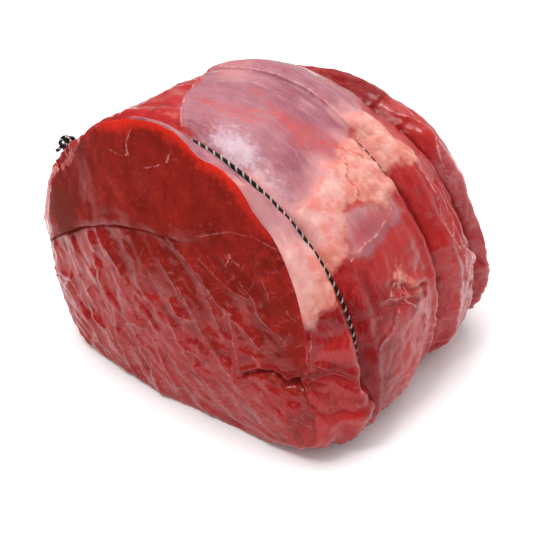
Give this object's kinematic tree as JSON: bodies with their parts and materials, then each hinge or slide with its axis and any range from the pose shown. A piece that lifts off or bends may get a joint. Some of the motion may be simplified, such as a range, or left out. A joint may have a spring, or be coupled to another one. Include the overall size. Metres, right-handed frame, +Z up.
{
  "type": "raw beef roasting joint",
  "caption": "Raw beef roasting joint, rolled, with one cut face and a rounded end, tied round with butcher's twine.",
  "frame": {"origin": "on the board, under the middle of the joint's box", "axes": "+Z up; the roll lies along Y, with its cut face towards -Y and its rounded end towards +Y; +X to the right of someone who looks at the cut face"},
  "size_m": [0.164, 0.1486, 0.1273],
  "materials": {
    "raw_beef": "wet raw meat with fat and silverskin",
    "butchers_twine": "twisted black and white cotton"
  },
  "bodies": {
    "root": {"meat": "raw_beef", "tie_1": "butchers_twine", "tie_2": "butchers_twine", "tie_3": "butchers_twine"}
  },
  "joints": []
}
